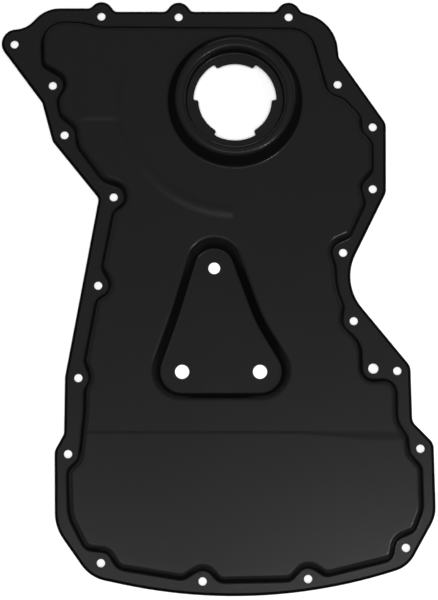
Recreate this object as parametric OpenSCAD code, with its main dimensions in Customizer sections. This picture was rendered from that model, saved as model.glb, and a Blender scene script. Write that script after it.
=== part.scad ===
// Timing cover pressed from one piece of sheet steel.
// It lies on the back of its fixing pad: X to the right, Y up the cover and Z out through its face.
// The origin is under the middle of the cover, level with the back of the fixing pad.

/* [Cover] */
// Width of the cover
cover_w = 365; // [345:1:420]
// Height of the cover
cover_h = 504; // [460:1:560]

/* [Sheet] */
// Thickness of the sheet
sheet = 2; // [1.2:0.1:2.6]
// Radius of the bends, to the middle of the sheet
bend_r = 2.6; // [2:0.1:3]

/* [Pan] */
// Height of the pan's face above the flange
pan_h = 9; // [6:0.5:14]
// Slope of the pan's wall
pan_lean = 68; // [60:1:78]
// Radius of the wall around a flange bolt, to the middle of the wall
scallop_r = 11.4; // [10.6:0.1:11.6]

/* [Flange] */
// Diameter of the flange bolt holes
bolt_d = 7; // [5:0.1:9]
// Diameter of the locating hole
locating_d = 8.6; // [6:0.1:10]
// Radius of the flange's edge around a bolt
edge_r = 11.2; // [10:0.1:12]
// Radius of the ears on the top edge
ear_r = 10; // [8:0.1:11]
// Distance of an ear's centre above its bolt
ear_rise = 3; // [1:0.1:4]
// Radius of the hollows beside the ears
ear_foot_r = 5; // [3:0.1:6]

/* [Filler ring] */
// Radius of the ring's foot, where it leaves the face
ring_r = 58.5; // [56:0.5:61]
// Height of the ring's crest above the face
ring_h = 16; // [12:0.5:20]
// Slope of the ring's outer wall
ring_lean = 66; // [60:1:72]
// Radius of the ring's outer bends, to the middle of the sheet
ring_bend_r = 3.5; // [2.5:0.1:4]
// Width of the flat on the ring's crest
crest_w = 1.3; // [1:0.1:3]
// Drop from the crest to the cap's seat
seat_drop = 12; // [8:0.5:13]
// Slope of the wall that drops to the seat
seat_lean = 84; // [76:1:86]
// Radius of the opening at its three lands
land_r = 31; // [27:0.5:33]
// Radius of the opening at its three lobes
lobe_r = 35; // [34:0.5:37]
// Width of a lobe, in degrees
lobe_deg = 61; // [40:1:70]
// Radius of the lobes' corners
lobe_corner = 1.6; // [0.5:0.1:2]

/* [Fixing pad] */
// Depth of the pad below the pan's face
pad_d = 20; // [15:0.5:24]
// Slope of the pad's wall
pad_lean = 75; // [68:1:80]
// Radius of the pad's wall around the top bolt, to the middle of the wall
pad_top_r = 20.5; // [18:0.5:22]
// Radius of the pad's wall around the lower bolts, to the middle of the wall
pad_foot_r = 22; // [20:0.5:24]
// Diameter of the pad's top hole
pad_top_d = 10; // [7:0.1:12]
// Diameter of the pad's lower holes
pad_foot_d = 12; // [8:0.1:14]

/* [Hidden] */
paint = "#2b2b2c";
// Length of flat at each end of a section, laid into the flat it joins
lip = 1;
// Run of a cutter past the faces of the sheet
overrun = 1;
// Furthest that a chord lies inside its arc: on the cover's edge, the pan's wall and the pad's wall
edge_sag = 0.03;
wall_sag = 0.12;
pad_sag = 0.1;

// Places are given for a cover of the drawn size. In a cover of another size, what lies between these
// lines keeps its shape, and the straights that cross a line take an equal share of the difference.
drawn = [365, 504];
lines_x = [-55, 33];
lines_y = [-160, 60, 116];
function shift(v, lines, more) = more * (len([for (a = lines) if (v > a) a]) / len(lines) - 1 / 2);
function place(p) = p + [shift(p.x, lines_x, cover_w - drawn.x), shift(p.y, lines_y, cover_h - drawn.y)];

// Flange bolts [x, y], clockwise from the left end of the top edge
top_bolts = [[-97.5, 239], [-31.5, 238.5], [62.5, 238.5]];
right_bolts = [
  [104, 179.5], [133.5, 142.5], [133, 89], [107.5, 34.5],
  [116, -23.5], [152, -65.5], [170.5, -130.5], [157.5, -212.5]
];
bottom_bolts = [[76.5, -238], [-10.5, -240], [-94.5, -225]];
left_bolts = [
  [-122.5, -135], [-114.5, -71.5], [-98.5, 6.5], [-86, 82],
  [-128, 135.5], [-138.5, 178.5], [-171.5, 214.5]
];
bolts = [for (p = concat(top_bolts, right_bolts, bottom_bolts, left_bolts)) place(p)];
locating = place([132, -63.5]);
ring_at = place([16.5, 163.2]);
// Middle of the fixing pad, and its three bolts
pad_at = place([0, 0]);
pad_top = pad_at + [-1, 23];
pad_right = pad_at + [37.5, -65];
pad_left = pad_at + [-28, -65];

// Heights: the back of each flat of the sheet
flange_z = max(0, pad_d - pan_h);
pan_z = flange_z + pan_h;
crest_z = pan_z + ring_h;
seat_z = crest_z - seat_drop;
pad_z = pan_z - pad_d;

// Plan width of a sloping wall with a bend at its foot and at its top
function run(h, r, lean) = 2 * r * sin(lean) + (h - 2 * r * (1 - cos(lean))) / tan(lean);
pan_run = run(pan_h, bend_r, pan_lean);
pad_run = run(pad_d, bend_r, pad_lean);
ring_run = run(ring_h, ring_bend_r, ring_lean);
seat_run = run(seat_drop, bend_r, seat_lean);
crest_r = ring_r - ring_run;
seat_r = crest_r - crest_w - seat_run;

// Outlines are belts laid around rollers [x, y, r], clockwise.
// A roller with r > 0 lies inside the belt and one with r < 0 lies outside it.
function at(x, y, r) = [each place([x, y]), r];
function around(p, r) = [p.x, p.y, r];

// Heights of the top edge: on the shoulder left of the ears, between the ears and on the right corner
shoulder_y = cover_h / 2 - 5.5;
top_y = cover_h / 2 - 8.5;
corner_y = cover_h / 2 - 9.5;
// Straight left between an ear and the hollow beside it
ear_gap = 0.2;
function ear(i) = [bolts[i].x, bolts[i].y + ear_rise, ear_r];
// Hollow beside ear i, on its left (-1) or right (1), that meets an edge at height y
function ear_foot(i, side, y) =
  let (up = y + ear_foot_r - ear(i).y, out = sqrt(pow(ear_r + ear_foot_r, 2) - up * up) + ear_gap)
  [ear(i).x + side * out, y + ear_foot_r, -ear_foot_r];

// The bow along the bottom: the flattest arc about bow_x that runs into both of its corners
bow_x = 15;
bow_corners = [at(140.5, -205, 27.5), at(-84.5, -208, 32)];
function bow_r(c) =
  let (up = c.y + cover_h / 2)
  (pow(c.x - bow_x, 2) + up * up - c.z * c.z) / (up - c.z) / 2;
bow = min([for (c = bow_corners) bow_r(c)]);

edge_rollers = [
  at(-170, 215.5, 12.5), at(-171.6, 249, -21), at(-133, 218.5, 28),
  ear_foot(0, -1, shoulder_y), ear(0), ear_foot(0, 1, top_y),
  ear_foot(1, -1, top_y), ear(1), ear_foot(1, 1, top_y),
  ear_foot(2, -1, top_y), ear(2), ear_foot(2, 1, corner_y),
  at(70.5, 208.5, 34), at(111, 205.5, -6), around(bolts[4], edge_r), around(bolts[5], edge_r),
  at(155.5, 14.5, -42), around(bolts[8], edge_r), at(172, -104.5, -8), around(bolts[9], edge_r),
  at(154, -179, 28.5), bow_corners[0], [bow_x, bow - cover_h / 2, bow], bow_corners[1], at(-95, -183, 38),
  around(bolts[14], edge_r), at(-134, -116, -8), around(bolts[15], edge_r),
  at(-105, 79.5, -6), around(bolts[18], edge_r), at(-156.5, 159.5, -10)
];

function scallop(i) = around(bolts[i], -scallop_r);
wall_rollers = [
  at(-128.5, 214, 18), at(-117, 201.5, 30), scallop(0),
  at(64, 206.5, 20), scallop(3), at(99.5, 153, 15), at(114, 147.5, 8), scallop(4),
  at(123.5, 125, 8), at(125, 107, 6.5), scallop(5), at(118.5, 77, 6), at(107.5, 53.5, 6), scallop(6),
  at(91.5, 21.5, 8), at(155.5, 14.5, -55.5), at(98, -12.5, 8), scallop(7),
  at(100, -52, 20.5), around(locating, -scallop_r), at(139.5, -84.5, 10), at(169.5, -102, -20),
  at(152.5, -124, 6), scallop(9), at(162.5, -149, 7), at(150, -177, 20), at(159, -193.5, 5.5), scallop(10),
  at(139, -216, 6), at(92.5, -227.5, 6), scallop(11), at(58, -231, 7), at(7.5, -231, 8), scallop(12),
  at(-28.5, -229.5, 7), at(-73.5, -219.5, 9.5), scallop(13),
  at(-101, -205, 8), at(-90, -178.5, 30), at(-113, -152.5, 8), scallop(14),
  at(-147.5, -98, -40), at(-99.5, -84.5, 8), scallop(15), at(-99.5, -57, 8), at(-92, -11, 7), scallop(16),
  at(-85.5, 22.5, 8), at(-78.5, 64.5, 7), scallop(17), at(-86.5, 107, 12), at(-104, 130.5, 12), scallop(18),
  at(-124, 156, 7), at(-125.5, 164.5, 7), scallop(19), at(-141, 199, 5)
];

pad_rollers = [
  around(pad_top, pad_top_r), around(pad_at + [146, 30], -120), around(pad_right, pad_foot_r),
  around(pad_left, pad_foot_r), around(pad_at + [-268, 57], -245)
];

// The filler's opening: three lobes between three lands, about the ring's middle
function polar(r, a) = r * [cos(a), sin(a)];
lobe_in = lobe_deg / 2 - asin(lobe_corner / (lobe_r - lobe_corner));
lobe_out = lobe_deg / 2 + asin(lobe_corner / (land_r + lobe_corner));
opening_rollers = [
  for (a = [270, 150, 30]) each [
    around(polar(land_r + lobe_corner, a + lobe_out), -lobe_corner),
    around(polar(lobe_r - lobe_corner, a + lobe_in), lobe_corner),
    [0, 0, lobe_r],
    around(polar(lobe_r - lobe_corner, a - lobe_in), lobe_corner),
    around(polar(land_r + lobe_corner, a - lobe_out), -lobe_corner),
    [0, 0, land_r]
  ]
];

// Direction of the belt from roller a to roller b
function heading(a, b) =
  atan2(b.y - a.y, b.x - a.x) - asin(max(-1, min(1, (a.z - b.z) / norm([b.x - a.x, b.y - a.y]))));
function wrap(a) = a - 360 * floor((a + 180) / 360);
// Stations [x, y, r, heading] along a belt, so close that a chord stays within sag of its arc
function belt(c, sag) = [
  for (i = [0:len(c) - 1])
    let (
      from = heading(c[(i + len(c) - 1) % len(c)], c[i]),
      turn = wrap(heading(c[i], c[(i + 1) % len(c)]) - from),
      n = max(1, ceil(abs(turn) / acos(1 - sag / abs(c[i].z)) / 2))
    )
    for (k = [0:n]) [c[i].x, c[i].y, c[i].z, from + turn * k / n]
];
// Point beside a station, s outside the belt
function beside(st, s) = [st.x - (st.z + s) * sin(st[3]), st.y + (st.z + s) * cos(st[3])];
// Outline s outside a belt, counter-clockwise
function outline(stations, s) = [for (i = [len(stations) - 1:-1:0]) beside(stations[i], s)];

// Section [s, z] of a wall that rises by h as s grows, bent at its foot and at its top
function rising(h, r, lean, n) =
  let (w = run(h, r, lean), a = r - sheet / 2, b = r + sheet / 2)
  [
    [-lip, 0],
    for (k = [0:n]) let (q = lean * k / n) [b * sin(q), b * (1 - cos(q))],
    for (k = [n:-1:0]) let (q = lean * k / n) [w - a * sin(q), h - a * (1 - cos(q))],
    [w + lip, h],
    [w + lip, h + sheet],
    for (k = [0:n]) let (q = lean * k / n) [w - b * sin(q), h + sheet - b * (1 - cos(q))],
    for (k = [n:-1:0]) let (q = lean * k / n) [a * sin(q), sheet + a * (1 - cos(q))],
    [-lip, sheet]
  ];
// The same section with the wall falling as s grows
function falling(h, r, lean, n) =
  let (up = rising(h, r, lean, n), w = run(h, r, lean))
  [for (i = [len(up) - 1:-1:0]) [w - up[i].x, up[i].y]];

// Closed band of sheet: the section swept along the stations of a belt
module band(stations, section, s, z) {
  m = len(section);
  n = len(stations);
  points = [for (st = stations) for (p = section) let (q = beside(st, s + p.x)) [q.x, q.y, z + p.y]];
  faces = [
    for (j = [0:n - 1]) for (i = [0:m - 1])
      let (jj = (j + 1) % n, ii = (i + 1) % m)
      [j * m + i, jj * m + i, jj * m + ii, j * m + ii]
  ];
  polyhedron(points, faces);
}

module flat(z) {
  translate([0, 0, z]) linear_extrude(sheet) children();
}

// Opening of the filler
module filler_opening() {
  translate([ring_at.x, ring_at.y, pan_z])
    linear_extrude(ring_h + 2 * sheet)
      polygon(outline(belt(opening_rollers, edge_sag), 0));
}

// Raised ring with the cap's seat inside it
module filler_ring() {
  translate([ring_at.x, ring_at.y, 0])
    rotate_extrude($fn = 96) {
      translate([crest_r, pan_z]) polygon(falling(ring_h, ring_bend_r, ring_lean, 6));
      translate([seat_r, seat_z]) polygon(rising(seat_drop, bend_r, seat_lean, 6));
      translate([crest_r - crest_w, crest_z]) square([crest_w, sheet]);
      translate([0, seat_z]) square([seat_r, sheet]);
    }
}

// Hole through the flat at height z
module hole(p, z, d) {
  translate([p.x, p.y, z - overrun]) cylinder(h = sheet + 2 * overrun, d = d, $fn = 48);
}

module holes() {
  for (p = bolts) hole(p, flange_z, bolt_d);
  hole(locating, flange_z, locating_d);
  hole(pad_top, pad_z, pad_top_d);
  for (p = [pad_right, pad_left]) hole(p, pad_z, pad_foot_d);
}

module timing_cover() {
  edge = belt(edge_rollers, edge_sag);
  wall = belt(wall_rollers, wall_sag);
  pad = belt(pad_rollers, pad_sag);
  color(paint)
    difference() {
      union() {
        flat(flange_z) difference() {
          polygon(outline(edge, 0));
          polygon(outline(wall, pan_run / 2));
        }
        band(wall, falling(pan_h, bend_r, pan_lean, 3), -pan_run / 2, flange_z);
        flat(pan_z) difference() {
          polygon(outline(wall, -pan_run / 2));
          polygon(outline(pad, pad_run / 2));
          translate(ring_at) circle(r = ring_r, $fn = 96);
        }
        band(pad, rising(pad_d, bend_r, pad_lean, 3), -pad_run / 2, pad_z);
        flat(pad_z) polygon(outline(pad, -pad_run / 2));
        filler_ring();
      }
      holes();
      filler_opening();
    }
}

timing_cover();
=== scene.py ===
# %% [markdown]
# # A pressed timing cover
# The real cover is one blank of sheet steel. A press draws the pan, the filler ring and the sunk
# pad out of it, dies pierce the holes, and a dip tank coats it black. This lesson follows the same
# order in Blender: draw the pressed walls as a thin skin, fill the flats between them, give the
# skin its thickness, roll the cut edges, and coat it.

# %% Load the CAD frame
import math

import bpy
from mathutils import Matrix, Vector


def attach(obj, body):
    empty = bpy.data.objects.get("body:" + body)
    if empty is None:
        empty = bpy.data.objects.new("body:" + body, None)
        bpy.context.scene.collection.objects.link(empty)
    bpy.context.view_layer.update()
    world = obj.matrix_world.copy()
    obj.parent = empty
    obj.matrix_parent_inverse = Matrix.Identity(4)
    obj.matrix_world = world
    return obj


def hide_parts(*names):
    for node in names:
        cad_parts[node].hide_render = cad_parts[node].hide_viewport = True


MM = 0.001
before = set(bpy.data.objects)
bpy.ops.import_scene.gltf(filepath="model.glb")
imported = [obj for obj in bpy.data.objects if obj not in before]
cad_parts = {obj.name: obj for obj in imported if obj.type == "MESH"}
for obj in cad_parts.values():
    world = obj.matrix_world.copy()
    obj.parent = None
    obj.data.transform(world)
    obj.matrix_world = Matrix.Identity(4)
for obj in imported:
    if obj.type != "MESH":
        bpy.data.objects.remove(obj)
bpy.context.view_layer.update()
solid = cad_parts["timing_cover"].data

# %% [markdown]
# ## Reading the flats off the solid
# The CAD solid already knows where every flat of the sheet begins and ends. Its flats that face up
# lie at five heights: the sunk pad, the flange, the pan, the cap's seat and the ring's crest. The
# outlines could be typed in again, but reading them keeps the skin true to the solid.

# %% Find the heights of the flats
FLAT = 0.9999


def flat_heights(facing):
    """Heights of the solid's level faces that face up (1) or down (-1), lowest first."""
    level = [face for face in solid.polygons if face.normal.z * facing > FLAT]
    return sorted({round(face.center.z / MM, 2) * MM for face in level})


PAD_Z, FLANGE_Z, PAN_Z, SEAT_Z, CREST_Z = flat_heights(1)
SHEET = PAD_Z - flat_heights(-1)[0]
print("flats in mm:", [round(z / MM, 2) for z in flat_heights(1)], "sheet:", round(SHEET / MM, 2))

# %% Read the outlines of a flat
WELD = 0.001 * MM
NEAR = 0.01 * MM


def weld_key(point):
    """Place of a point in plan, in whole steps of the weld, so that equal places compare equal."""
    return round(point.x / WELD), round(point.y / WELD)


def outline_size(points):
    """Diagonal of an outline's box."""
    xs = [point.x for point in points]
    ys = [point.y for point in points]
    return math.hypot(max(xs) - min(xs), max(ys) - min(ys))


def flat_outlines(height):
    """Closed outlines of the solid's flats at one height, the widest first."""
    sides = set()
    for face in solid.polygons:
        if face.normal.z > FLAT and abs(face.center.z - height) < NEAR:
            keys = [weld_key(solid.vertices[i].co) for i in face.vertices]
            sides.update(zip(keys, keys[1:] + keys[:1]))
    following = {a: b for a, b in sides if (b, a) not in sides}
    outlines = []
    while following:
        key = next(iter(following))
        points = []
        while key in following:
            points.append(Vector((key[0] * WELD, key[1] * WELD, height)))
            key = following.pop(key)
        outlines.append(points)
    return sorted(outlines, key=outline_size, reverse=True)


edge, wall_foot, *bolt_holes = flat_outlines(FLANGE_Z)
wall_top, pad_top, ring_foot = flat_outlines(PAN_Z)
pad_foot, *pad_holes = flat_outlines(PAD_Z)
crest_outside, crest_inside = flat_outlines(CREST_Z)
seat_edge, opening = flat_outlines(SEAT_Z)
print("flange holes:", len(bolt_holes), "pad holes:", len(pad_holes))

# %% [markdown]
# ## The walls of the pan and of the sunk pad
# A drawn wall leaves one flat in a bend, runs straight at its slope, and enters the next flat in
# another bend. Extruding and bevelling would round the corners in plan as well, so the two
# outlines are bridged with plain cuts, and each cut is then lifted to the height that the bends
# give it. The bends are measured to the middle of the sheet, as a toolmaker does.

# %% Shape of a bent wall
BEND_R = 2.6 * MM
PAN_LEAN = math.radians(68)
PAD_LEAN = math.radians(75)


def wall_rise(share, rise, bend_r, lean):
    """Height of a wall's outer face at a share of its plan width, with both bends of one radius."""
    foot_r = bend_r - SHEET / 2
    top_r = bend_r + SHEET / 2
    bends = (foot_r + top_r) * math.sin(lean)
    straight = (rise - (foot_r + top_r) * (1 - math.cos(lean))) / math.tan(lean)
    along = share * (bends + straight)
    left = (1 - share) * (bends + straight)
    if along < foot_r * math.sin(lean):
        return foot_r - math.sqrt(foot_r**2 - along**2)
    if left < top_r * math.sin(lean):
        return rise - top_r + math.sqrt(top_r**2 - left**2)
    return foot_r * (1 - math.cos(lean)) + (along - foot_r * math.sin(lean)) * math.tan(lean)


half_way = wall_rise(0.5, PAN_Z - FLANGE_Z, BEND_R, PAN_LEAN)
print("height in mm half way across the pan's wall:", round(half_way / MM, 2))

# %% Start an object from outlines
def make_active(*objects):
    """Selects these objects alone, the first one active."""
    bpy.ops.object.select_all(action="DESELECT")
    for one in objects:
        one.select_set(True)
    bpy.context.view_layer.objects.active = objects[0]


def start_object(name, outlines, closed=True):
    """A new object that holds outlines as bare edges, selected and active."""
    points = []
    sides = []
    for outline in outlines:
        first = len(points)
        points += outline
        sides += [(first + i, first + i + 1) for i in range(len(outline) - 1)]
        if closed:
            sides.append((len(points) - 1, first))
    mesh = bpy.data.meshes.new(name)
    mesh.from_pydata(points, sides, [])
    made = bpy.data.objects.new(name, mesh)
    bpy.context.collection.objects.link(made)
    make_active(made)
    return made


print("points at the foot and the top of the pan's wall:", len(wall_foot), len(wall_top))

# %% Bridge two outlines into a wall
WALL_CUTS = 15


def bridge_outlines(name, low, high, cuts):
    """A strip of faces between two closed outlines, with even cuts along it."""
    made = start_object(name, [low, high])
    bpy.ops.object.mode_set(mode="EDIT")
    bpy.ops.mesh.select_all(action="SELECT")
    bpy.ops.mesh.bridge_edge_loops(number_cuts=cuts, interpolation="LINEAR")
    bpy.ops.object.mode_set(mode="OBJECT")
    print(name, "faces:", len(made.data.polygons))
    return made


def bent_wall(name, low, high, lean):
    """A wall between two outlines, bent into the flats at its foot and at its top."""
    made = bridge_outlines(name, low, high, WALL_CUTS)
    foot = low[0].z
    rise = high[0].z - foot
    for corner in made.data.vertices:
        share = (corner.co.z - foot) / rise
        corner.co.z = foot + wall_rise(share, rise, BEND_R, lean)
    return made


pan_wall = bent_wall("pan_wall", wall_foot, wall_top, PAN_LEAN)
pad_wall = bent_wall("pad_wall", pad_foot, pad_top, PAD_LEAN)

# %% [markdown]
# ## The filler ring
# The ring was drawn by a round punch, so every section through its middle is the same. Its two
# sides could be bridged like the pan's wall, but spinning one section about the ring's axis gives
# evenly spaced faces for the highlights to run along.

# %% Radii of the ring
def outline_middle(points):
    """Middle of a round outline at height 0, and its radius."""
    middle = sum(points, Vector()) / len(points)
    radius = sum((point - middle).length for point in points) / len(points)
    return Vector((middle.x, middle.y, 0)), radius


ring_middle, foot_r = outline_middle(ring_foot)
crest_out_r = outline_middle(crest_outside)[1]
crest_in_r = outline_middle(crest_inside)[1]
seat_r = outline_middle(seat_edge)[1]
print("radii in mm:", [round(r / MM, 2) for r in (foot_r, crest_out_r, crest_in_r, seat_r)])

# %% Section of the ring
RING_BEND_R = 3.5 * MM
RING_LEAN = math.radians(66)
SEAT_LEAN = math.radians(84)
SECTION_STEPS = 16


def section_side(low_r, high_r, low, high, bend_r, lean):
    """Points of one side of the ring's section, from its low end up to its high end."""
    side = []
    for step in range(SECTION_STEPS + 1):
        share = step / SECTION_STEPS
        radius = low_r + (high_r - low_r) * share
        rise = wall_rise(share, high - low, bend_r, lean)
        side.append(ring_middle + Vector((radius, 0, low + rise)))
    return side


outer_side = section_side(foot_r, crest_out_r, PAN_Z, CREST_Z, RING_BEND_R, RING_LEAN)
inner_side = section_side(seat_r, crest_in_r, SEAT_Z, CREST_Z, BEND_R, SEAT_LEAN)
section = outer_side + inner_side[::-1]
print("points in the section:", len(section))

# %% Spin the section
RING_STEPS = 144
filler_ring = start_object("filler_ring", [section], closed=False)
bpy.ops.object.mode_set(mode="EDIT")
bpy.ops.mesh.select_all(action="SELECT")
bpy.ops.mesh.spin(steps=RING_STEPS, angle=math.tau, center=ring_middle, axis=(0, 0, 1))
bpy.ops.mesh.select_all(action="SELECT")
bpy.ops.mesh.remove_doubles(threshold=NEAR)
bpy.ops.object.mode_set(mode="OBJECT")
print("filler ring faces:", len(filler_ring.data.polygons))

# %% [markdown]
# ## The flats
# The walls are joined with the bare outlines of the flange and of its holes. Each flat is then the
# space between the open edges at one height, and the fill operator closes it, holes and all. A
# narrow rim is kept out of the flange and bridged on by itself, because its even faces roll over
# better than the long triangles of a fill, and because the coat is matt there and painted darker
# there as painted shade, which frames the cover in a dark line.

# %% Join the walls with the outlines of the flats
RIM = 2.4 * MM


def inset_outline(points, depth):
    """A closed outline moved inwards, which is to the left of its run."""
    moved = []
    for before, here, after in zip([points[-1], *points], points, [*points[1:], points[0]]):
        run = (here - before).normalized() + (after - here).normalized()
        moved.append(here + Vector((-run.y, run.x, 0)).normalized() * depth)
    return moved


rim_foot = inset_outline(edge, RIM)
cut_edges = start_object("cut_edges", [rim_foot, *bolt_holes, *pad_holes, opening])
make_active(pan_wall, pad_wall, filler_ring, cut_edges)
bpy.ops.object.join()
skin = bpy.context.active_object
skin.name = "timing_cover_sheet"
skin.data.name = "timing_cover_sheet"
print("joined edges:", len(skin.data.edges))

# %% Fill the flats
def pick_edges(test):
    """Selects the skin's edges that pass a test of their ends and of the z of their faces' normals."""
    bpy.ops.object.mode_set(mode="OBJECT")
    bpy.context.tool_settings.mesh_select_mode = (False, True, False)
    mesh = skin.data
    slopes = {}
    for face in mesh.polygons:
        for key in face.edge_keys:
            slopes.setdefault(key, []).append(face.normal.z)
    for one in [*mesh.polygons, *mesh.vertices]:
        one.select = False
    count = 0
    for side in mesh.edges:
        ends = [mesh.vertices[i].co for i in side.vertices]
        side.select = test(ends, slopes.get(side.key, []))
        count += side.select
    bpy.ops.object.mode_set(mode="EDIT")
    return count


def is_open(ends, slopes, height):
    """True for an edge at a height that isn't yet shared by two faces."""
    return len(slopes) < 2 and all(abs(end.z - height) < NEAR for end in ends)


for height in (FLANGE_Z, PAN_Z, PAD_Z, SEAT_Z):
    count = pick_edges(lambda ends, slopes: is_open(ends, slopes, height))
    bpy.ops.mesh.fill(use_beauty=True)
    print("flat at mm:", round(height / MM, 2), "open edges:", count)
bpy.ops.object.mode_set(mode="OBJECT")
print("skin faces:", len(skin.data.polygons))

# %% Bridge the rim on
MATT_AND_SHADE_TAG = "matt_coat_and_painted_shade"
rim = bridge_outlines("rim", edge, rim_foot, 0)
# Painted shade: the rim's faces get a full share, so they take the darker black as well as the matt
# coat.
for one in rim.data.attributes.new(MATT_AND_SHADE_TAG, "FLOAT", "FACE").data:
    one.value = 1
make_active(skin, rim)
bpy.ops.object.join()
bpy.ops.object.mode_set(mode="EDIT")
bpy.ops.mesh.select_all(action="SELECT")
bpy.ops.mesh.remove_doubles(threshold=WELD)
bpy.ops.mesh.normals_make_consistent(inside=False)
bpy.ops.object.mode_set(mode="OBJECT")
print("skin faces with the rim:", len(skin.data.polygons))

# %% [markdown]
# ## Thickness and cut edges
# So far the skin is only the outside of the sheet. Solidify adds the inside at an even distance,
# which turns each tight bend on one side into a wide one on the other, as in real sheet. A press
# tool drags the metal a little before it shears, so the cut edges are rolled over on the outside
# and sharp on the inside. The edge of the cover is rolled the most. The rolled faces are tagged,
# because the coat is matt on them and is painted darker there as painted shade. Smooth shading
# would also tilt the light on the long triangles of the flats, so weighted normals let the flats
# keep their own direction and bend the light only over the rolls.

# %% Give the skin its thickness
def tag_matt_and_shade(share_of):
    """Sets each face's share of matt coat and painted shade from the face and its old share. Counts
    tagged faces.
    """
    tags = skin.data.attributes[MATT_AND_SHADE_TAG].data
    for face in skin.data.polygons:
        tags[face.index].value = share_of(face, tags[face.index].value)
    return sum(one.value > 0 for one in tags)


make_active(skin)
sheet = skin.modifiers.new("sheet", "SOLIDIFY")
sheet.thickness = SHEET
sheet.offset = -1
sheet.use_even_offset = True
bpy.ops.object.modifier_apply(modifier=sheet.name)
tagged = tag_matt_and_shade(lambda face, share: 0 if face.normal.z < 0 else share)
print("sheet faces:", len(skin.data.polygons), "tagged:", tagged)

# %% Roll the cut edges
EDGE_ROLL = 1.8 * MM
HOLE_ROLL = 0.5 * MM
ROLL_STEPS = 4
ROUND = 0.5
# Limits on the z of a normal, for a face that lies level and for one that stands upright.
LIES = 0.99
STANDS = 0.1
edge_keys = {weld_key(point) for point in edge}


def is_cut(ends, slopes, on_edge):
    """True at the outer corner of a cut face, on the cover's edge or else in a hole."""
    along = all(weld_key(end) in edge_keys for end in ends)
    return max(slopes) > LIES and abs(min(slopes)) < STANDS and along == on_edge


for on_edge, roll in ((True, EDGE_ROLL), (False, HOLE_ROLL)):
    count = pick_edges(lambda ends, slopes: is_cut(ends, slopes, on_edge))
    bpy.ops.mesh.bevel(
        offset=roll,
        segments=ROLL_STEPS,
        profile=ROUND,
        loop_slide=False,
        face_strength_mode="AFFECTED",
    )
    bpy.ops.object.mode_set(mode="OBJECT")
    tagged = tag_matt_and_shade(lambda face, share: 1 if face.select else share)
    print("rolled edges:", count, "tagged:", tagged)

# %% Smooth the bends and level the flats
SMOOTH = math.radians(40)
bpy.ops.object.shade_smooth_by_angle(angle=SMOOTH)
level_flats = skin.modifiers.new("level_flats", "WEIGHTED_NORMAL")
level_flats.keep_sharp = True
level_flats.use_face_influence = True
bpy.ops.object.modifier_apply(modifier=level_flats.name)
print("finished faces:", len(skin.data.polygons))

# %% [markdown]
# ## Helpers for the finishes
# A finish is a tree of nodes. By hand, each node is added, set and linked in the editor. Here one
# small function does all three, so that a finish can be read from top to bottom. Colours are
# written as they look on a screen, and another function turns them into linear light.

# %% Colour and node helpers
WHITE = "#ffffff"


def linear(colour):
    """An sRGB hex colour as linear values, by the formula of the sRGB standard."""
    parts = [int(colour[i : i + 2], 16) / 255 for i in (1, 3, 5)]
    parts = [c / 12.92 if c <= 0.04045 else ((c + 0.055) / 1.055) ** 2.4 for c in parts]
    return (*parts, 1)


def start_material(name):
    """A new material with an empty node tree."""
    made = bpy.data.materials.new(name)
    made.use_nodes = True
    made.node_tree.nodes.clear()
    return made


def add_node(tree, kind, inputs=None, **settings):
    """Adds a node, with its settings and with each input set or linked."""
    made = tree.nodes.new(kind)
    for name, value in settings.items():
        setattr(made, name, value)
    for name, value in (inputs or {}).items():
        if isinstance(value, bpy.types.NodeSocket):
            tree.links.new(value, made.inputs[name])
        else:
            made.inputs[name].default_value = value
    return made


print("white in linear light:", linear(WHITE))

# %% [markdown]
# ## Press marks
# The blank is drawn in more than one blow, and each die leaves its edge as a faint level in the
# pan's face, less than a millimetre high: a bead round the filler ring, a ledge at the upper left
# and a step across the bottom. Modelled, they would need a very fine mesh for a height that only
# the reflections show, so they are heights that the bump node reads, in metres.

# %% Sizes of the press marks
# Each pair is the place where a mark fades out and the place where it has its full height.
BEAD_H = 0.6 * MM
BEAD_R = 94.5 * MM
BEAD_HALF = 7.5 * MM
BEAD_RIGHT = (17 * MM, 13 * MM)
BEAD_TOP = (205 * MM, 165 * MM)
LEDGE_H = 0.5 * MM
LEDGE_FRONT = (144.5 * MM, 150.5 * MM)
LEDGE_BACK = (207.5 * MM, 151.5 * MM)
LEDGE_RIGHT = (-70 * MM, -90 * MM)
LEDGE_LEFT = (-122 * MM, -108 * MM)
# The step's slope has a short run over most of the cover's width, and a longer one at its right.
STEP_H = 0.3 * MM
STEP_Y = -116 * MM
SHORT_RUN = 3 * MM
SHORT_RUN_END = 60 * MM
LONG_RUN = 9 * MM
LONG_RUN_START = 140 * MM
print("heights in mm:", [round(h / MM, 2) for h in (BEAD_H, LEDGE_H, STEP_H)])

# %% Heights of the press marks
def step_end(tree, x):
    """Where the step across the bottom has its full height, for a place across the cover."""
    run = add_node(
        tree,
        "ShaderNodeMapRange",
        {
            "Value": x,
            "From Min": SHORT_RUN_END,
            "From Max": LONG_RUN_START,
            "To Min": SHORT_RUN,
            "To Max": LONG_RUN,
        },
        interpolation_type="SMOOTHSTEP",
    )
    end = add_node(
        tree, "ShaderNodeMath", {0: STEP_Y, 1: run.outputs["Result"]}, operation="SUBTRACT"
    )
    return end.outputs["Value"]


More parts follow.
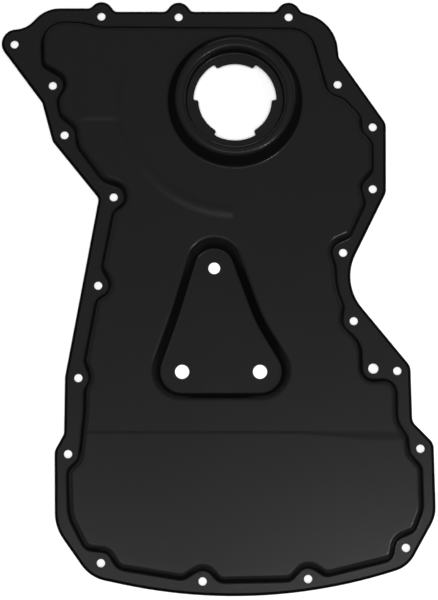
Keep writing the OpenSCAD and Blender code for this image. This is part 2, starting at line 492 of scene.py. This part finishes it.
def press_marks(tree, place):
    """Height of all the press marks at a place: each mark's own height times its fades."""
    split = add_node(tree, "ShaderNodeSeparateXYZ", {"Vector": place})
    x = split.outputs["X"]
    y = split.outputs["Y"]
    plan = add_node(tree, "ShaderNodeCombineXYZ", {"X": x, "Y": y}).outputs["Vector"]
    ring = add_node(tree, "ShaderNodeVectorMath", {0: plan, 1: ring_middle}, operation="DISTANCE")
    reach = ring.outputs["Value"]
    bead_sides = [(reach, BEAD_R - BEAD_HALF, BEAD_R), (reach, BEAD_R + BEAD_HALF, BEAD_R)]
    marks = [
        (BEAD_H, [*bead_sides, (x, *BEAD_RIGHT), (y, *BEAD_TOP)]),
        (LEDGE_H, [(y, *LEDGE_FRONT), (y, *LEDGE_BACK), (x, *LEDGE_RIGHT), (x, *LEDGE_LEFT)]),
        (STEP_H, [(y, STEP_Y, step_end(tree, x))]),
    ]
    total = 0
    for height, fades in marks:
        mark = height
        for value, start, end in fades:
            fade = add_node(
                tree,
                "ShaderNodeMapRange",
                {"Value": value, "From Min": start, "From Max": end},
                interpolation_type="SMOOTHSTEP",
            ).outputs["Result"]
            faded = add_node(tree, "ShaderNodeMath", {0: mark, 1: fade}, operation="MULTIPLY")
            mark = faded.outputs["Value"]
        both = add_node(tree, "ShaderNodeMath", {0: total, 1: mark}, operation="ADD")
        total = both.outputs["Value"]
    return total


print("bead's middle in mm:", [round(c / MM, 1) for c in ring_middle.xy])

# %% [markdown]
# ## Black dip coat
# The steel is coated in a tank, so the film is thin, even and black, with a satin face. Up close
# the film has a fine pebble and is a little shinier where it ran smooth. It draws back from the
# torn cut edges and dries matt there, and a darker black is painted on them as painted shade, so
# they frame the cover in a dark line. The steep walls get the same darker, duller coat, more of it
# the steeper they are: painted shade for the dark that they take from the room. A second material
# would end in a hard line, so the share of matt coat and painted shade is a value on each face
# that one material reads.

# %% Tag the steep walls with painted shade
SHINY_LEAN = math.radians(30)
DULL_LEAN = math.radians(55)
WALL_PAINTED_SHADE = 0.7


def wall_shade_share(face, share):
    """Share of matt coat and painted shade on a face of the outside, more of it on a steep one."""
    span = math.cos(SHINY_LEAN) - math.cos(DULL_LEAN)
    steep = (math.cos(SHINY_LEAN) - face.normal.z) / span
    # The steeper the wall, the more of the darker, duller coat it gets: painted shade.
    return max(share, WALL_PAINTED_SHADE * min(steep, 1)) if face.normal.z > 0 else share


print("faces with some matt coat:", tag_matt_and_shade(wall_shade_share))

# %% Tilt of the film
# A pixel of the picture is about 0.8 mm wide, so a pebble finer than this would not show.
PEBBLE = 0.9 * MM
PEBBLE_H = 0.05 * MM
PEBBLE_STRENGTH = 0.25
MARKS_START = PAN_Z - 0.5 * MM
MARKS_FULL = PAN_Z - 0.1 * MM


def coat_normal(tree, place):
    """Tilt of the film: its fine pebble, over the press marks on the pan's face."""
    height = add_node(tree, "ShaderNodeSeparateXYZ", {"Vector": place}).outputs["Z"]
    on_pan = add_node(
        tree,
        "ShaderNodeMapRange",
        {"Value": height, "From Min": MARKS_START, "From Max": MARKS_FULL},
        interpolation_type="SMOOTHSTEP",
    ).outputs["Result"]
    marks = add_node(
        tree,
        "ShaderNodeBump",
        {"Strength": on_pan, "Height": press_marks(tree, place), "Distance": 1},
    )
    pebble = add_node(
        tree, "ShaderNodeTexNoise", {"Vector": place, "Scale": 1 / PEBBLE, "Detail": 2}
    )
    film = add_node(
        tree,
        "ShaderNodeBump",
        {
            "Strength": PEBBLE_STRENGTH,
            "Height": pebble.outputs["Fac"],
            "Distance": PEBBLE_H,
            "Normal": marks.outputs["Normal"],
        },
    )
    return film.outputs["Normal"]


print("pebble in mm:", round(PEBBLE / MM, 2))

# %% Roughness of the film
PATCH = 45 * MM
PATCH_LOW = 0.3
PATCH_HIGH = 0.7
SMOOTH_ROUGHNESS = 0.24
PATCH_ROUGHNESS = 0.27
MATT_ROUGHNESS = 0.6


def coat_roughness(tree, place, matt_and_shade):
    """Roughness of the film: satin in faint patches, and rough where it is matt."""
    patch = add_node(
        tree, "ShaderNodeTexNoise", {"Vector": place, "Scale": 1 / PATCH, "Detail": 3}
    )
    satin = add_node(
        tree,
        "ShaderNodeMapRange",
        {
            "Value": patch.outputs["Fac"],
            "From Min": PATCH_LOW,
            "From Max": PATCH_HIGH,
            "To Min": SMOOTH_ROUGHNESS,
            "To Max": PATCH_ROUGHNESS,
        },
    ).outputs["Result"]
    rough = add_node(
        tree,
        "ShaderNodeMapRange",
        {"Value": matt_and_shade, "To Max": MATT_ROUGHNESS},
        interpolation_type="SMOOTHSTEP",
    ).outputs["Result"]
    return add_node(tree, "ShaderNodeMath", {0: satin, 1: rough}, operation="MAXIMUM").outputs[0]


print("patches in mm:", round(PATCH / MM))

# %% Black dip coat on steel
COAT_BLACK = "#131314"
# A darker black, painted on the cut edges and steep walls as painted shade.
PAINTED_SHADE_BLACK = "#060606"
COAT_IOR = 1.5
COAT_SHINE = 0.3
MATT_SHINE = 0.03


def black_dip_coat():
    """Black paint that steel is dipped in, a dielectric film, with a darker black painted on the cut
    edges and steep walls as painted shade.
    """
    # A dipped film dries nearly smooth, so the eye sees soft reflections in black with a faint grain.
    made = start_material("black_dip_coat_on_steel")
    tree = made.node_tree
    place = add_node(tree, "ShaderNodeTexCoord").outputs["Object"]
    matt_and_shade = add_node(tree, "ShaderNodeAttribute", attribute_name=MATT_AND_SHADE_TAG).outputs["Fac"]
    # Painted shade: tagged faces are mixed towards the darker black.
    black = add_node(
        tree,
        "ShaderNodeMix",
        {0: matt_and_shade, 6: linear(COAT_BLACK), 7: linear(PAINTED_SHADE_BLACK)},
        data_type="RGBA",
    )
    shine = add_node(
        tree,
        "ShaderNodeMapRange",
        {"Value": matt_and_shade, "To Min": COAT_SHINE, "To Max": MATT_SHINE},
        interpolation_type="SMOOTHSTEP",
    )
    coat = add_node(
        tree,
        "ShaderNodeBsdfPrincipled",
        {
            "Base Color": black.outputs[2],
            "Roughness": coat_roughness(tree, place, matt_and_shade),
            "IOR": COAT_IOR,
            "Specular IOR Level": shine.outputs["Result"],
            "Normal": coat_normal(tree, place),
        },
    )
    add_node(tree, "ShaderNodeOutputMaterial", {"Surface": coat.outputs["BSDF"]})
    return made


skin.data.materials.clear()
skin.data.materials.append(black_dip_coat())
skin.name = "timing_cover_pressing"
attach(skin, "root")
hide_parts("timing_cover")
print("coated:", skin.data.materials[0].name)

# %% [markdown]
# ## Floor, light and camera
# The cover lies on a sheet of white paper in a dim studio, so its steep walls reflect little and
# stay dark. The room is a sphere that the camera looks through: past the paper it sees a white
# world, which the black paint can't mirror. One lamp would light the cover, but satin black shows
# whatever hangs over it, so its grey is built up from several. A pale ceiling and a broad soft box
# give the even tone, two small boxes lift the lower corners, and a weak side lamp puts sparkles on
# the bends. A polarised fill lamp beside the lens gives the rest of the light without showing in
# the paint, so a colour comes out about as it is written. The camera looks down through a long
# lens, tipped a little, so that the ring and the pad shift only slightly against the flange.

# %% White paper
PAPER_SIZE = (0.41, 0.55)


def white_paper():
    """Uncoated white paper."""
    # Its fibres scatter all the light that falls on it, so the eye sees an even matt white.
    made = start_material("white_paper")
    tree = made.node_tree
    paper = add_node(tree, "ShaderNodeBsdfDiffuse", {"Color": linear(WHITE)})
    add_node(tree, "ShaderNodeOutputMaterial", {"Surface": paper.outputs[0]})
    return made


bpy.ops.mesh.primitive_plane_add(size=1)
floor = bpy.context.active_object
floor.name = "floor"
floor.scale = (*PAPER_SIZE, 1)
bpy.ops.object.transform_apply(location=False, rotation=False, scale=True)
floor.data.materials.append(white_paper())
print("paper in m:", [round(c, 2) for c in floor.dimensions])

# %% Dim studio
ROOM_R = 5
ROOM_LEVEL = 0.17


def dim_wall():
    """Wall paint of the room, at the level the lamps leave on it."""
    # The eye sees it only in the black paint, as a faint even grey.
    made = start_material("dim_studio_wall")
    tree = made.node_tree
    wall = add_node(tree, "ShaderNodeEmission", {"Strength": ROOM_LEVEL})
    add_node(tree, "ShaderNodeOutputMaterial", {"Surface": wall.outputs[0]})
    return made


bpy.ops.mesh.primitive_uv_sphere_add(radius=ROOM_R)
room = bpy.context.active_object
room.name = "room"
room.visible_camera = False
room.data.materials.append(dim_wall())

world = bpy.data.worlds.new("white_background")
world.use_nodes = True
world.node_tree.nodes["Background"].inputs["Color"].default_value = linear(WHITE)
bpy.context.scene.world = world
print("room level:", ROOM_LEVEL)

# %% Soft light
HANG_Z = 2.6


def soft_box(name, place, target, size, watts):
    """A square area lamp that faces a point and isn't seen itself, in metres and watts."""
    lamp = bpy.data.lights.new(name, "AREA")
    lamp.shape = "SQUARE"
    lamp.size = size
    lamp.energy = watts
    made = bpy.data.objects.new(name, lamp)
    made.location = place
    made.rotation_euler = (Vector(target) - Vector(place)).to_track_quat("-Z", "Y").to_euler()
    made.visible_camera = False
    bpy.context.collection.objects.link(made)
    return made


soft_box("ceiling", (0.5, 0.2, HANG_Z), target=(0.5, 0.2, 0), size=2.4, watts=1.7)
soft_box("broad_box", (0.25, -0.2, HANG_Z), target=(0.25, -0.2, 0), size=1.8, watts=5.2)
soft_box("corner_box", (0.32, -0.4, HANG_Z), target=(0.1, -0.2, 0), size=0.5, watts=2.9)
soft_box("left_box", (-0.4, -0.45, HANG_Z), target=(0, -0.2, 0), size=0.5, watts=2.3)
soft_box("side_lamp", (0.5, -0.33, 0.9), target=(0.17, -0.2, 0), size=0.03, watts=1.8)
fill = soft_box("polarised_fill", (0, -0.29, 2.0), target=(0, 0, 0), size=0.25, watts=36)
fill.visible_glossy = False

# %% Camera
IMAGE_HEIGHT_PX = 600
FOCAL_PX = 2200
SENSOR_MM = 36
TARGET = Vector((3.0, -5.4, 11)) * MM
DISTANCE = 1848 * MM
TILT = math.radians(8)
camera_data = bpy.data.cameras.new("camera")
camera_data.sensor_width = SENSOR_MM
camera_data.sensor_fit = "AUTO"
camera_data.lens = FOCAL_PX * SENSOR_MM / IMAGE_HEIGHT_PX
camera = bpy.data.objects.new("camera", camera_data)
camera.location = TARGET + DISTANCE * Vector((0, -math.sin(TILT), math.cos(TILT)))
camera.rotation_euler = (TILT, 0, 0)
bpy.context.collection.objects.link(camera)
bpy.context.scene.camera = camera
bpy.context.scene.view_settings.view_transform = "Standard"
print("camera at mm:", [round(c / MM) for c in camera.location], "lens:", camera_data.lens)
